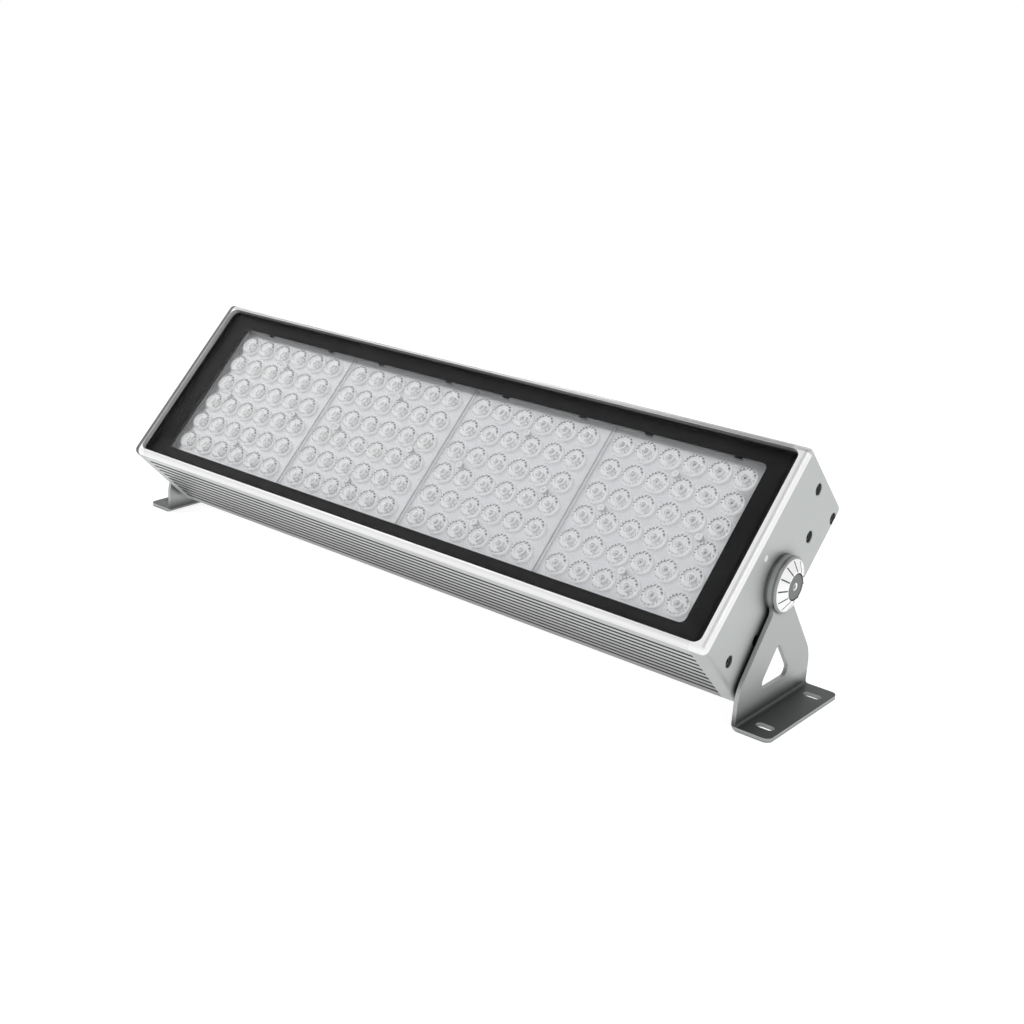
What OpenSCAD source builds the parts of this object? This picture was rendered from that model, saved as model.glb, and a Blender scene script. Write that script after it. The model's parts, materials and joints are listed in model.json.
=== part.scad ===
// Outdoor wall washer light: an extruded lamp head that tilts between two bent brackets.
// Millimetres, +Z up. The origin is the centre of the four foot slots, on the mounting surface.
// +X runs along the lamp. The lamp faces -Y, tilted up by tilt_angle from the vertical.

/* [Optics] */
// Distance between neighbouring lenses
lens_pitch = 20; // [19:0.5:24]
// Rows of lenses across the face
lens_rows = 6; // [4:2:8]
// Columns of lenses in one module
lens_columns = 6; // [4:2:8]
// Diameter of a lens
lens_diameter = 17.2; // [14:0.2:18.4]
// Height of a lens above its plate
lens_height = 4.6; // [3.6:0.1:6]
// Height of the straight side wall of a lens
lens_wall_h = 1.2; // [0.6:0.1:2]
// Thickness of the clear plate that carries the lenses
lens_plate_t = 2; // [1.5:0.1:3]
// Extra length of a module beyond its lens field
module_extra = 11; // [9:0.5:20]
// Gap between neighbouring modules
module_gap = 0.3; // [0.2:0.1:2]

/* [Front glass] */
// Thickness of the toughened glass
glass_t = 4; // [3:0.5:6]
// Width of the black border along the long sides
border_side = 11.3; // [10:0.1:16]
// Width of the black border at the ends
border_end = 20; // [16:0.5:30]
// Clear margin between the lens field and the border
window_margin = 2.8; // [2:0.1:6]
// Corner radius of the glass
glass_corner_r = 5; // [2:0.5:8]
// Corner radius of the clear window
window_corner_r = 4.5; // [1:0.5:8]

/* [Housing] */
// Depth of the housing from front rim to fin tips
housing_depth = 80; // [78:1:110]
// Distance from the tilt axis back to the fin tips
pivot_to_back = 33.4; // [32:0.1:36]
// Height of the front rim above the glass
rim_proud = 3.8; // [1:0.1:5]
// Width of the rim beside the glass
rim_w = 5.15; // [4.5:0.05:8]
// Radius of the four long outer corners
corner_r = 5; // [4:0.5:6]
// Thickness of the side walls
wall_t = 3.5; // [3:0.1:5]
// Thickness of the web that carries the LED boards
web_t = 5; // [4:0.5:7]
// Thickness of the back wall
back_t = 3; // [2.5:0.1:4]
// Height of the cooling fins
fin_h = 12; // [11:0.5:14]
// Thickness of a cooling fin
fin_t = 2.5; // [2:0.1:3.5]
// Distance between neighbouring fins
fin_pitch = 10; // [8:0.5:14]
// Grooves along each long side
groove_count = 9; // [3:1:11]
// Radius of a side groove
groove_r = 1.5; // [0.8:0.1:1.8]

/* [End caps] */
// Thickness of an end cap
cap_t = 13; // [12.5:0.5:18]
// Rounding of the outer edge of an end cap
cap_edge_r = 4; // [2:0.5:4.5]
// Beyond the glass: width of the end cap's front rim
cap_rim_w = 7.4; // [6:0.1:10]
// Radius of the counterbores for the cap screws
counterbore_r = 4.2; // [4.1:0.1:4.6]
// Depth of the counterbores
counterbore_depth = 5.5; // [4.5:0.1:6]
// Radius of the white index dot
index_dot_r = 2.4; // [1.5:0.1:3.5]
// Distance of the index dot from the tilt axis
index_dot_reach = 32.2; // [26:0.1:36]

/* [Brackets] */
// Thickness of the bracket sheet
bracket_t = 3; // [2.5:0.5:5]
// Width of a bracket
bracket_w = 96; // [86:1:112]
// Radius of the bracket's round head
bracket_head_r = 20; // [18:0.5:22]
// Angle of the bracket's slanted sides from the vertical
bracket_side_angle = 37; // [34:0.5:40]
// Rounding where a slanted side meets the straight side
bracket_shoulder_r = 30; // [10:1:34]
// Rounding of the neck under the round head
bracket_neck_r = 6; // [3:0.5:8]
// Inside radius of the sheet bend
bend_r = 2; // [1:0.5:4]
// Foot length from the upright's outer face
foot_l = 25.4; // [24:0.2:40]
// Corner radius of the foot
foot_corner_r = 5; // [1:0.5:7]
// Width of a mounting slot
slot_w = 7; // [5:0.5:8]
// Length of a mounting slot, end to end
slot_l = 13.5; // [11:0.5:14]
// Distance between the two slots of one foot
slot_spacing = 65; // [50:1:72]
// Distance of the slot centres from the upright's outer face
slot_out = 13.85; // [13.4:0.05:16]
// Bottom edge of the triangular window, above the mounting surface
bracket_window_base = 19.5; // [16:0.5:28]
// Width of the sheet left on each slanted side of the triangular window
bracket_window_side = 25.4; // [20:0.2:28]

/* [Tilt dial and lock] */
// Radius of the tilt dial
dial_r = 20; // [19:0.5:22]
// Height of the tilt dial
dial_h = 6.7; // [5.6:0.1:8]
// Height of the dial's straight rim
dial_rim_h = 1.6; // [1:0.1:2.5]
// Outer radius of the dial's flat inner ring
dial_ring_r = 11; // [10.5:0.1:13]
// Graduation grooves round the dial
dial_groove_count = 12; // [6:1:24]
// Thickness of the base ring between end cap and bracket
base_ring_t = 2.4; // [1.5:0.1:4]
// Radius of the lock bolt's shank
bolt_r = 4; // [3:0.5:4.5]
// Radius of the lock bolt's head
bolt_head_r = 9.2; // [8.6:0.1:9.4]
// Height of the lock bolt's head
bolt_head_h = 3.6; // [3:0.1:3.6]

/* [Pose] */
// Tilt of the lamp's face from the horizontal
tilt_angle = 45; // [0:5:90]

/* [Hidden] */
$fn = 64;
module_count = 4;
cut = 1;
film = 0.001;

// Clearances
contact_gap = 0.01;
running_gap = 0.05;
fit_gap = 0.1;
pass_gap = 0.3;
loose_gap = 0.3;
seal_gap = 0.75;
floor_gap = 0.5;

// Optical stack, from the glass backwards
frit_t = 0.3;
glass_gasket_t = 2;
glass_gasket_w = 8;
sealant_below_glass_face = 0.6;
shelf_t = 2.5;
lens_glass_gap = 0.6;
lens_cavity_r = 3;
lens_cavity_depth = 1.4;
plate_corner_r = 1.5;
skirt_t = 1.5;
skirt_h = 1.7;
screw_boss_r = 3;
board_t = 1.6;
plate_side_margin = 6;
board_overhang = 1.5;
pad_t = 0.5;
pad_inset = 1;
chip_size = 3.5;
chip_t = 0.7;

// Lens field, window and glass
field_w = lens_rows * lens_pitch;
module_pitch = lens_columns * lens_pitch + module_extra;
module_l = module_pitch - module_gap;
window_end_cover = 2.65;
window_w = field_w + 2 * window_margin;
window_l = module_count * module_pitch - 2 * window_end_cover;
glass_w = window_w + 2 * border_side;
glass_l = window_l + 2 * border_end;
plate_w = field_w + 2 * plate_side_margin;
board_w = plate_w + 2 * board_overhang;

// Housing widths and lengths
seat_w = glass_w + 2 * seal_gap;
seat_l = glass_l + 2 * seal_gap;
seat_corner_r = glass_corner_r + seal_gap;
mouth_w = glass_w - 2 * glass_gasket_w;
housing_w = seat_w + 2 * rim_w;
housing_l = glass_l + 2 * cap_rim_w;
inner_w = housing_w - 2 * wall_t;
end_gasket_t = 1;
end_gasket_inset = 0.3;
cap_in = housing_l / 2 - cap_t;
extrusion_l = 2 * cap_in;

// Levels along the lamp's axis of light, counted from the tilt axis
back = -pivot_to_back;
back_out = back + fin_h;
back_in = back_out + back_t;
rim_front = back + housing_depth;
glass_front = rim_front - rim_proud;
glass_back = glass_front - glass_t;
frit_back = glass_back - frit_t;
ledge = frit_back - glass_gasket_t;
shelf_back = ledge - shelf_t;
lens_top = frit_back - lens_glass_gap;
plate_top = lens_top - lens_height;
plate_bottom = plate_top - lens_plate_t;
board_top = plate_bottom - skirt_h;
board_bottom = board_top - board_t;
web_top = board_bottom - pad_t;
web_bottom = web_top - web_t;

// Side grooves
first_groove_below_glass = 9;
last_groove_above_back = 13.2;
first_groove = glass_front - first_groove_below_glass;
last_groove = back + last_groove_above_back;
groove_pitch = (first_groove - last_groove) / (groove_count - 1);

// Driver, hung from the web by four countersunk screws
driver_l = 200;
driver_w = 70;
driver_floor_gap = 8.9;
driver_h = web_bottom - back_in - driver_floor_gap;
driver_x = 30;
driver_corner_r = 3;
driver_flange_t = 2.5;
driver_flange_l = 9;
driver_gap = 2.1;
driver_screw_r = 2;
driver_screw_head_r = 4;
driver_screw_head_h = 2.2;
driver_screw_from_end = 4.5;
driver_screw_from_side = 10;
driver_body_l = driver_l - 2 * driver_flange_l;
driver_screws_at = [for (end = [-1, 1], side = [-1, 1]) [
    driver_x + end * (driver_l / 2 - driver_screw_from_end),
    side * (driver_w / 2 - driver_screw_from_side)
]];

// Screw ports of the extrusion, and the cap screws in them
port_r = 4.2;
port_rib_t = 3;
cap_screw_r = 2;
cap_screw_bite = 14;
cap_screw_head_r = 3.9;
cap_screw_head_h = 3.5;
hex_socket_r = 2.3;
hex_socket_depth = 2;
counterbore_chamfer = 0.5;
side_port_from_edge = 12.2;
side_port_below_web = 11.5;
back_port_above_back = 5.5;
floor_port_above_floor = 9.5;
side_port = [housing_w / 2 - side_port_from_edge, web_bottom - side_port_below_web];
back_port = [housing_w / 2 - side_port_from_edge, back + back_port_above_back];
floor_port = [driver_w / 2 + driver_gap + port_r, back_in + floor_port_above_floor];
ports = [for (side = [-1, 1], port = [side_port, back_port, floor_port]) [side * port[0], port[1]]];

// Fins, between the outer ports of the back
fin_field_w = 2 * (back_port[0] - port_r - fin_t / 2 - loose_gap);
fin_side_count = floor(fin_field_w / 2 / fin_pitch);

// End caps
cap_pocket_depth = 8;
cap_pocket_inset = 1.5;
cap_boss_r = 6.5;
cap_rib_t = 8;
pivot_boss_r = 11;
index_dot_depth = 0.8;
insert_r = 7;
insert_depth = 11;

// Height of the tilt axis: the front corners just pass over the mounting surface
pivot_height = norm([housing_w / 2 - corner_r, rim_front - corner_r]) + corner_r + floor_gap;

// Brackets
upright_in = housing_l / 2 + base_ring_t;
upright_out = upright_in + bracket_t;
bend_x = upright_out + bend_r;
bend_z = bracket_t + bend_r;
window_base_r = 5;
window_top_r = 3;
neck_bite = 0.02;
peg_r = 1.5;
peg_l = 2;
peg_reach = 14;

// Dial and lock bolt
bolt_bore_r = bolt_r + running_gap;
dial_edge = 0.4;
dial_recess_r = 9.6;
dial_floor_t = 1.5;
dial_groove_w = 1;
dial_groove_depth = 0.7;
dial_groove_reach = 17.4;
washer_t = 1.4;
washer_r = 7.4;
washer_split = 1.2;
bolt_tip_gap = 0.8;
bolt_edge = 0.5;
bolt_socket_r = 2.3;
bolt_socket_depth = 2.4;
bolt_socket_mouth_r = 3;
bolt_socket_mouth_depth = 0.7;

// Module screws, between the lenses
module_screw_r = 1.45;
module_screw_head_r = 2.75;
module_screw_head_h = 1.8;
module_screw_bite = 4;
module_socket_r = 1.2;
module_socket_depth = 1;
module_screws_at = [for (side = [-1, 1]) each [
    [side * (lens_columns / 2 - 1) * lens_pitch, 0],
    [0, side * (lens_rows / 2 - 1) * lens_pitch]
]];

// Board connectors, in notches of the upper edge of each lens plate
connector_l = 6;
connector_w = 3.2;
connector_h = 3;
connector_gap = 0.4;
connector_from_edge = 0.2;
connector_x = 36.7;
connector_y = board_w / 2 - connector_from_edge - connector_w / 2;

// Cable gland and breather plug, in a cleared field of the back near the left end
gland_from_end = 60;
gland_x = -housing_l / 2 + gland_from_end;
gland_to_breather = 32;
gland_to_terminal = 34;
breather_x = gland_x + gland_to_breather;
cleared_end = 18;
cleared_w = 35;
gland_thread_r = 10;
gland_hex_r = 13.8;
gland_hex_h = 6;
gland_neck_r = 9;
gland_neck_h = 10;
gland_bore_r = 6;
gland_seat_r = 7;
gland_seat_h = 12.5;
gland_seal_bore_r = 4.1;
gland_seal_proud = 0.5;
gland_washer_t = 1.5;
gland_washer_r = 13;
gland_nut_from_hex = 0.5;
gland_nut_hex_h = 7;
gland_nut_end_t = 2.5;
gland_nut_end_r = 8.5;
gland_nut_hole_r = 5.2;
locknut_r = 14.4;
locknut_t = 4;
gland_thread_end = 0.5;
gland_inner_end = -back_t - locknut_t - gland_thread_end;
gland_hex_bottom = gland_washer_t;
gland_hex_top = gland_hex_bottom + gland_hex_h;
gland_neck_top = gland_hex_top + gland_neck_h;
breather_thread_r = 6;
breather_cap_r = 8.5;
breather_cap_h = 5;
breather_hex_r = 8;
breather_hex_h = 3;
breather_ring_t = 1.2;
breather_thread_end = 1;
breather_vent_r = 1;
breather_vent_reach = 5;
breather_vent_count = 6;

// Terminal block and earth screw, under the web
terminal_x = gland_x + gland_to_terminal;
terminal_l = 34;
terminal_w = 26;
terminal_h = 15;
terminal_slot_r = 2;
terminal_slot_depth = 3;
terminal_slot_pitch = 8;
earth_from_terminal = 16;
earth_y = 20;
earth_screw_r = 2;
earth_screw_bite = 3;
earth_head_r = 4;
earth_head_h = 2.4;
earth_eye_r = 4.5;
earth_eye_t = 0.8;
earth_x = terminal_x + terminal_l + earth_from_terminal;

// Leads and the grommet in the web
lead_r = 0.7;
lead_pitch = 3.2;
lead_pin_pitch = connector_l / 2;
lead_end_gap = 0.1;
lead_end_y = connector_y + connector_w / 2 + lead_end_gap + lead_r;
grommet_x_from_module = 7;
grommet_bore_r = 2.4;
grommet_lip = 0.9;
grommet_flange_t = 1.2;
grommet_flange_r = (inner_w - board_w) / 4 - pass_gap;
grommet_hole_r = grommet_flange_r - grommet_lip;
grommet_x = module_x(module_count) + grommet_x_from_module;
grommet_y = (board_w + inner_w) / 4;

// Middle of a lens module along the lamp, counted from 1 at the left
function module_x(i) = (i - (module_count + 1) / 2) * module_pitch;

// Lens centres of one module
function lens_places() = [for (row = [1:lens_rows], column = [1:lens_columns]) [
    (column - (lens_columns + 1) / 2) * lens_pitch,
    (row - (lens_rows + 1) / 2) * lens_pitch
]];

function unit(v) = v / norm(v);

// Places: the tilted head, its two ends, its back, and the outer face of each upright
module in_head() translate([0, 0, pivot_height]) rotate([tilt_angle, 0, 0]) children();
module along_x(x0, length) translate([x0, 0, 0]) rotate([90, 0, 90]) linear_extrude(length) children();
module right_end() in_head() translate([cap_in, 0, 0]) rotate([90, 0, 90]) children();
module left_end() in_head() mirror([1, 0, 0]) translate([cap_in, 0, 0]) rotate([90, 0, 90]) children();
module on_back(x) in_head() translate([x, 0, back_out]) rotate([180, 0, 0]) children();
module right_pivot() translate([upright_out, 0, pivot_height]) rotate([90, 0, 90]) children();
module left_pivot() mirror([1, 0, 0]) right_pivot() children();
module at_module(i) in_head() translate([module_x(i), 0, 0]) children();

// Flat shapes
module span(x0, x1, y0, y1) translate([x0, y0]) square([x1 - x0, y1 - y0]);

module rounded_rect(w, h, r) {
    square([w, h - 2 * r], center = true);
    square([w - 2 * r, h], center = true);
    for (x = [-1, 1], y = [-1, 1])
        translate([x * (w / 2 - r), y * (h / 2 - r)]) circle(r);
}

module frame(w, h, r, band) difference() {
    rounded_rect(w, h, r);
    square([w - 2 * band, h - 2 * band], center = true);
}

// A convex polygon with its own radius at each corner
module soft_polygon(points, radii) {
    n = len(points);
    before = [for (i = [0:n - 1]) unit(points[(i + n - 1) % n] - points[i])];
    after = [for (i = [0:n - 1]) unit(points[(i + 1) % n] - points[i])];
    half = [for (i = [0:n - 1]) acos(before[i] * after[i]) / 2];
    run = [for (i = [0:n - 1]) radii[i] / tan(half[i])];
    starts = [for (i = [0:n - 1]) points[i] + before[i] * run[i]];
    ends = [for (i = [0:n - 1]) points[i] + after[i] * run[i]];
    polygon([for (i = [0:n - 1]) each radii[i] > 0 ? [starts[i], ends[i]] : [points[i]]]);
    for (i = [0:n - 1]) if (radii[i] > 0) {
        centre = points[i] + unit(before[i] + after[i]) * radii[i] / sin(half[i]);
        intersection() {
            translate(centre) circle(radii[i]);
            polygon([starts[i], points[i], ends[i], centre]);
        }
    }
}

module slot(l, w) {
    square([l - w, w], center = true);
    for (x = [-1, 1]) translate([x * (l - w) / 2, 0]) circle(w / 2);
}

// A bent lead, drawn as straight stretches with round joints
module lead(points) for (i = [1:len(points) - 1]) hull() {
    translate(points[i - 1]) sphere(lead_r, $fn = 8);
    translate(points[i]) sphere(lead_r, $fn = 8);
}

// Housing
module housing_outline(inset = 0) translate([0, (back + rim_front) / 2])
    rounded_rect(housing_w - 2 * inset, housing_depth - 2 * inset, max(corner_r - inset, film));

module hollow_outline() difference() {
    housing_outline();
    span(-seat_w / 2, seat_w / 2, ledge, rim_front + cut);
    span(-mouth_w / 2, mouth_w / 2, web_top, rim_front);
    span(-inner_w / 2, inner_w / 2, web_top, shelf_back);
    span(-inner_w / 2, inner_w / 2, back_in, web_bottom);
}

module port_bosses(r, rib_t) for (side = [0, 1]) mirror([side, 0]) {
    for (port = [side_port, back_port, floor_port]) translate(port) circle(r);
    span(side_port[0], inner_w / 2 + wall_t / 2, side_port[1] - rib_t / 2, side_port[1] + rib_t / 2);
    span(back_port[0] - rib_t / 2, back_port[0] + rib_t / 2, back_port[1], back_out + back_t / 2);
    span(floor_port[0] - rib_t / 2, floor_port[0] + rib_t / 2, back_in - back_t / 2, floor_port[1]);
}

module port_holes() for (port = ports) translate(port) circle(cap_screw_r + fit_gap);

module fins() for (i = [-fin_side_count:fin_side_count]) translate([i * fin_pitch, 0]) {
    span(-fin_t / 2, fin_t / 2, back + fin_t / 2, back_out + back_t / 2);
    translate([0, back + fin_t / 2]) circle(fin_t / 2);
}

module housing_section() difference() {
    union() {
        difference() {
            hollow_outline();
            span(-inner_w / 2, inner_w / 2, back - cut, back_out);
        }
        fins();
        port_bosses(port_r, port_rib_t);
    }
    port_holes();
    for (side = [-1, 1], i = [0:groove_count - 1])
        translate([side * housing_w / 2, last_groove + i * groove_pitch]) circle(groove_r);
}

module housing_extrusion() color("silver") in_head() difference() {
    along_x(-extrusion_l / 2, extrusion_l) housing_section();
    translate([gland_x - cleared_end, -cleared_w / 2, back - cut])
        cube([gland_to_breather + 2 * cleared_end, cleared_w, fin_h + cut]);
    translate([gland_x, 0, back_out - cut]) cylinder(r = gland_thread_r + fit_gap, h = back_t + 2 * cut);
    translate([breather_x, 0, back_out - cut])
        cylinder(r = breather_thread_r + fit_gap, h = back_t + 2 * cut);
    for (i = [1:module_count], place = module_screws_at)
        translate([module_x(i) + place[0], place[1], web_bottom - cut])
            cylinder(r = module_screw_r + fit_gap, h = web_t + 2 * cut);
    for (place = driver_screws_at) translate([place[0], place[1], web_bottom - cut]) {
        cylinder(r = driver_screw_r + fit_gap, h = web_t + 2 * cut);
        translate([0, 0, web_t + cut - driver_screw_head_h]) cylinder(
            r1 = driver_screw_r + fit_gap, r2 = driver_screw_head_r + fit_gap, h = driver_screw_head_h
        );
        translate([0, 0, web_t + cut]) cylinder(r = driver_screw_head_r + fit_gap, h = cut);
    }
    translate([grommet_x, grommet_y, web_bottom - cut]) cylinder(r = grommet_hole_r, h = web_t + 2 * cut);
    translate([earth_x, earth_y, web_bottom - cut])
        cylinder(r = earth_screw_r + fit_gap, h = earth_screw_bite + cut);
}

// End caps
module cap_blank() hull() for (a = [0:15:90])
    translate([0, 0, a == 0 ? 0 : cap_t - film - cap_edge_r * (1 - sin(a))])
        linear_extrude(a == 0 ? cap_t - cap_edge_r : film)
            housing_outline(cap_edge_r * (1 - cos(a)), $fn = 32);

module end_cap() difference() {
    union() {
        difference() {
            cap_blank();
            translate([0, 0, -cut]) linear_extrude(cap_pocket_depth + cut)
                span(
                    cap_pocket_inset - inner_w / 2, inner_w / 2 - cap_pocket_inset,
                    back_in + cap_pocket_inset, shelf_back
                );
        }
        linear_extrude(cap_pocket_depth + cut) intersection() {
            port_bosses(cap_boss_r, cap_rib_t);
            span(-inner_w / 2, inner_w / 2, back_in, shelf_back);
        }
        cylinder(r = pivot_boss_r, h = cap_pocket_depth + cut);
    }
    translate([0, ledge, 0]) rotate([-90, 0, 0]) linear_extrude(rim_front - ledge + cut)
        translate([0, cap_in]) rounded_rect(seat_w, seat_l, seat_corner_r);
    translate([0, 0, -cut]) linear_extrude(end_gasket_t + cut) end_gasket_field(end_gasket_inset - fit_gap);
    for (port = ports) translate([port[0], port[1], -cut]) {
        cylinder(r = cap_screw_r + pass_gap, h = cap_t);
        translate([0, 0, cap_t - counterbore_depth + cut]) cylinder(r = counterbore_r, h = cap_t);
        translate([0, 0, cap_t - counterbore_chamfer + cut]) cylinder(
            r1 = counterbore_r, r2 = counterbore_r + 2 * counterbore_chamfer, h = 2 * counterbore_chamfer
        );
    }
    translate([0, 0, cap_t - insert_depth]) cylinder(r = insert_r, h = cap_t);
    translate([0, index_dot_reach, cap_t - index_dot_depth]) cylinder(r = index_dot_r, h = cap_t);
}

// The gasket lies in a recess of the cap, inside the grooves and behind the glass seat
module end_gasket_field(inset) intersection() {
    housing_outline(groove_r + inset);
    span(-housing_w / 2, housing_w / 2, back_out + inset, ledge);
}

module end_gasket() linear_extrude(end_gasket_t) difference() {
    intersection() {
        union() {
            hollow_outline();
            port_bosses(port_r, port_rib_t);
        }
        end_gasket_field(end_gasket_inset);
    }
    port_holes();
}

module cap_screw() {
    seat = cap_t - counterbore_depth;
    difference() {
        union() {
            translate([0, 0, -cap_screw_bite]) cylinder(r = cap_screw_r, h = cap_screw_bite + seat);
            translate([0, 0, seat]) cylinder(r = cap_screw_head_r, h = cap_screw_head_h);
        }
        translate([0, 0, seat + cap_screw_head_h - hex_socket_depth])
            cylinder(r = hex_socket_r, h = cap_screw_head_h, $fn = 6);
    }
}

module cap_screws() color("dimgray") for (port = ports) translate(port) cap_screw();

module index_dot() color("white") translate([0, index_dot_reach, cap_t - index_dot_depth])
    cylinder(r = index_dot_r, h = index_dot_depth);

module pivot_insert() color("lightgray") translate([0, 0, cap_t - insert_depth]) difference() {
    cylinder(r = insert_r, h = insert_depth);
    translate([0, 0, -cut]) cylinder(r = bolt_bore_r, h = insert_depth + 2 * cut);
}

module base_ring() color("darkgray") translate([0, 0, cap_t]) difference() {
    cylinder(r = bracket_head_r, h = base_ring_t - contact_gap);
    translate([0, 0, -cut]) cylinder(r = bolt_bore_r, h = base_ring_t + 2 * cut);
}

// Front glass and its seals
module front_glass() color([0.85, 0.92, 0.95, 0.4]) in_head() translate([0, 0, glass_back])
    linear_extrude(glass_t) rounded_rect(glass_l, glass_w, glass_corner_r);

module glass_border() color("black") in_head() translate([0, 0, frit_back]) linear_extrude(frit_t)
    difference() {
        rounded_rect(glass_l, glass_w, glass_corner_r);
        rounded_rect(window_l, window_w, window_corner_r);
    }

module glass_gasket() color("dimgray") in_head() translate([0, 0, ledge])
    linear_extrude(glass_gasket_t) frame(glass_l, glass_w, glass_corner_r, glass_gasket_w);

module glass_sealant() color("black") in_head() translate([0, 0, ledge])
    linear_extrude(glass_front - sealant_below_glass_face - ledge) difference() {
        rounded_rect(seat_l, seat_w, seat_corner_r);
        rounded_rect(glass_l, glass_w, glass_corner_r);
    }

// Lens modules and LED boards
module lens() {
    dome_h = lens_height - lens_wall_h;
    radius = lens_diameter / 2;
    sphere_r = (radius * radius + dome_h * dome_h) / (2 * dome_h);
    intersection() {
        translate([0, 0, lens_height - sphere_r]) sphere(sphere_r);
        translate([0, 0, -lens_plate_t / 2]) cylinder(r = radius, h = lens_height + lens_plate_t);
    }
}

module lens_module(i) color([0.9, 0.93, 0.95, 0.6]) at_module(i) difference() {
    union() {
        translate([0, 0, plate_bottom]) linear_extrude(lens_plate_t)
            rounded_rect(module_l, plate_w, plate_corner_r);
        translate([0, 0, board_top]) linear_extrude(skirt_h + lens_plate_t / 2) {
            frame(module_l, plate_w, plate_corner_r, skirt_t);
            for (place = module_screws_at) translate(place) circle(screw_boss_r);
        }
        for (place = lens_places()) translate([place[0], place[1], plate_top]) lens();
    }
    for (place = lens_places()) translate([place[0], place[1], plate_bottom - cut])
        cylinder(r = lens_cavity_r, h = lens_cavity_depth + cut);
    for (place = module_screws_at) translate([place[0], place[1], board_top - cut])
        cylinder(r = module_screw_r + fit_gap, h = skirt_h + lens_plate_t + 2 * cut);
    translate([0, 0, board_top - cut]) linear_extrude(skirt_h + lens_plate_t + 2 * cut)
        for (side = [-1, 1]) translate([side * connector_x, connector_y]) span(
            -connector_l / 2 - connector_gap, connector_l / 2 + connector_gap,
            -connector_w / 2 - connector_gap, board_overhang + connector_w
        );
}

module board_outline(inset = 0) difference() {
    rounded_rect(module_l - 2 * inset, board_w - 2 * inset, plate_corner_r);
    for (place = module_screws_at) translate(place) circle(module_screw_r + fit_gap);
}

module led_board(i) color("whitesmoke") at_module(i) translate([0, 0, board_bottom])
    linear_extrude(board_t) board_outline();

module led_chips(i) color("gold") at_module(i) for (place = lens_places())
    translate([place[0], place[1], board_top + chip_t / 2])
        cube([chip_size, chip_size, chip_t], center = true);

module thermal_pads() color("lightpink") for (i = [1:module_count]) at_module(i)
    translate([0, 0, web_top]) linear_extrude(pad_t) board_outline(pad_inset);

module module_screw() difference() {
    union() {
        translate([0, 0, plate_top]) cylinder(r = module_screw_head_r, h = module_screw_head_h);
        translate([0, 0, web_top - module_screw_bite])
            cylinder(r = module_screw_r, h = plate_top - web_top + module_screw_bite);
    }
    translate([0, 0, plate_top + module_screw_head_h - module_socket_depth])
        cylinder(r = module_socket_r, h = module_screw_head_h, $fn = 6);
}

module module_screws() color("lightgray") for (i = [1:module_count], place = module_screws_at)
    at_module(i) translate(place) module_screw();

module board_connectors() color("dimgray")
    for (i = [1:module_count], side = [-1, 1])
        at_module(i) translate([side * connector_x, connector_y, board_top + connector_h / 2])
            cube([connector_l, connector_w, connector_h], center = true);

// From each board's right connector, through the side channel, to the next board's left one
module board_jumpers() color("white") for (i = [1:module_count - 1], side = [-1, 1]) in_head() {
    start_x = module_x(i) + connector_x - side * lead_pin_pitch / 2;
    end_x = module_x(i + 1) - connector_x + side * lead_pin_pitch / 2;
    channel_y = grommet_y + side * lead_pitch / 2;
    z = board_top + connector_h / 2;
    lead([[start_x, lead_end_y, z], [start_x, channel_y, z], [end_x, channel_y, z], [end_x, lead_end_y, z]]);
}

// Driver and wiring
module led_driver() color("gainsboro") in_head() translate([driver_x, 0, web_bottom]) difference() {
    union() {
        translate([0, 0, -driver_h]) linear_extrude(driver_h)
            rounded_rect(driver_body_l, driver_w, driver_corner_r);
        translate([0, 0, -driver_flange_t]) linear_extrude(driver_flange_t)
            rounded_rect(driver_l, driver_w, driver_corner_r);
    }
    for (place = driver_screws_at)
        translate([place[0] - driver_x, place[1], -driver_flange_t - cut])
            cylinder(r = driver_screw_r + fit_gap, h = driver_flange_t + 2 * cut);
}

module driver_screws() color("lightgray") for (place = driver_screws_at)
    in_head() translate([place[0], place[1], web_top]) {
        translate([0, 0, -driver_screw_head_h])
            cylinder(r1 = driver_screw_r, r2 = driver_screw_head_r, h = driver_screw_head_h);
        translate([0, 0, -web_t - driver_flange_t])
            cylinder(r = driver_screw_r, h = web_t + driver_flange_t - driver_screw_head_h);
    }

module output_leads() color("white") for (side = [-1, 1]) in_head() {
    offset_y = side * lead_pitch / 2;
    start_x = driver_x + driver_body_l / 2 + lead_end_gap + lead_r;
    end_x = module_x(module_count) + connector_x + side * lead_pin_pitch / 2;
    under_web = web_bottom - 2 * lead_r - grommet_flange_t;
    over_board = board_top + connector_h / 2;
    lead([
        [start_x, offset_y, web_bottom - driver_h / 2],
        [start_x + driver_flange_l, offset_y, web_bottom - driver_h / 2],
        [(start_x + grommet_x) / 2, grommet_y / 2 + offset_y, under_web - lead_r],
        [grommet_x, grommet_y + offset_y, under_web],
        [grommet_x, grommet_y + offset_y, over_board],
        [end_x, grommet_y + offset_y, over_board],
        [end_x, lead_end_y, over_board]
    ]);
}

module web_grommet() color("dimgray") in_head() translate([grommet_x, grommet_y, web_bottom])
    rotate_extrude() {
        span(grommet_bore_r, grommet_hole_r, -grommet_flange_t, web_t + grommet_flange_t);
        span(grommet_bore_r, grommet_flange_r, -grommet_flange_t, 0);
        span(grommet_bore_r, grommet_flange_r, web_t, web_t + grommet_flange_t);
    }

module terminal_block() color("whitesmoke") in_head()
    translate([terminal_x, -terminal_w / 2, web_bottom - terminal_h]) difference() {
        cube([terminal_l, terminal_w, terminal_h]);
        for (i = [-1:1]) translate([terminal_l / 2, terminal_w / 2 + i * terminal_slot_pitch, -cut])
            cylinder(r = terminal_slot_r, h = terminal_slot_depth + cut);
    }

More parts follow.
